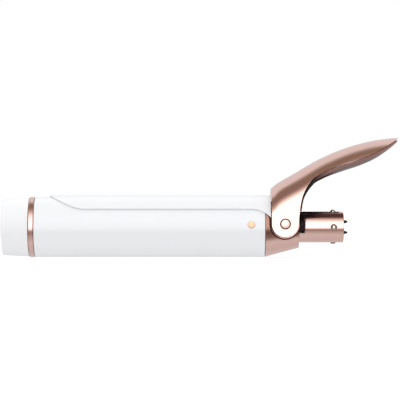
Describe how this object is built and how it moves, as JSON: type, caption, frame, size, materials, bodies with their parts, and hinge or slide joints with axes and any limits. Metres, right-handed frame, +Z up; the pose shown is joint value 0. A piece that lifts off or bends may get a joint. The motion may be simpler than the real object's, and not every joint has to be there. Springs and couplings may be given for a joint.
{
  "type": "curling iron clip barrel",
  "caption": "Interchangeable clip barrel of a curling iron: ceramic barrel with cool tip, sprung clip with a thumb lever, hinge collar and bayonet connector.",
  "frame": {"origin": "centre of the connector's end face, on the contact carrier", "axes": "+X along the barrel's axis from the tip towards the handle, +Z up to the clip's side, +Y to the right as seen from the handle"},
  "size_m": [0.2504, 0.04, 0.0756],
  "materials": {
    "white_ceramic": "glossy white ceramic coating",
    "white_plastic": "satin white heat-resistant plastic",
    "rose_gold": "satin rose-gold anodised",
    "rose_screw": "rose-gold plated screw",
    "dark_rose": "dark rose-brown gloss",
    "black_resin": "glass-filled black resin",
    "bare_aluminium": "extruded",
    "insulating_film": "amber polyimide film",
    "contact_metal": "rolled sheet",
    "heater_ceramic": "sintered grey",
    "steel": "drawn",
    "polished_steel": "polished pin",
    "dark_contact": "dark-plated spring contact",
    "nylon": "natural nylon",
    "wire_red": "silicone sleeve",
    "wire_white": "silicone sleeve"
  },
  "bodies": {
    "barrel": {"tip_cap": "white_plastic", "tip_band": "rose_gold", "tip_plug": "black_resin", "barrel_tube": "white_ceramic", "barrel_screw_left": "rose_screw", "barrel_screw_right": "rose_screw", "spine": "black_resin", "collar": "rose_gold", "connector_sleeve": "rose_gold", "contact_carrier": "black_resin", "heater_block_upper": "bare_aluminium", "heater_block_lower": "bare_aluminium", "insulation_upper": "insulating_film", "insulation_lower": "insulating_film", "electrode_upper": "contact_metal", "electrode_lower": "contact_metal", "heater_plate": "heater_ceramic", "temperature_sensor": "heater_ceramic", "thermal_fuse": "steel", "power_lead_live_front": "wire_red", "power_lead_live_rear": "wire_red", "power_lead_neutral": "wire_white", "sensor_lead_1": "wire_white", "sensor_lead_2": "wire_white", "pivot_stud_left": "rose_gold", "pivot_stud_right": "rose_gold", "clip_spring_left": "steel", "clip_spring_right": "steel", "bayonet_lug_1": "polished_steel", "contact_pin_1": "dark_contact", "bayonet_lug_2": "polished_steel", "contact_pin_2": "dark_contact", "bayonet_lug_3": "polished_steel", "contact_pin_3": "dark_contact", "bayonet_lug_4": "polished_steel", "contact_pin_4": "dark_contact"},
    "clip": {"clip_plate": "white_ceramic", "clip_rivet_left": "steel", "clip_rivet_right": "steel", "lever_shell": "rose_gold", "lever_underside": "dark_rose", "pivot_bush_left": "nylon", "pivot_bush_right": "nylon"}
  },
  "joints": [
    {"name": "clip_hinge", "type": "hinge", "parent": "barrel", "child": "clip", "pos_m": [-0.0372, 0, 0.0021], "axis": [0, 1, 0], "range_deg": [0, 22], "stiffness_Nm_per_rad": 0.25, "springref_deg": -68.75}
  ]
}
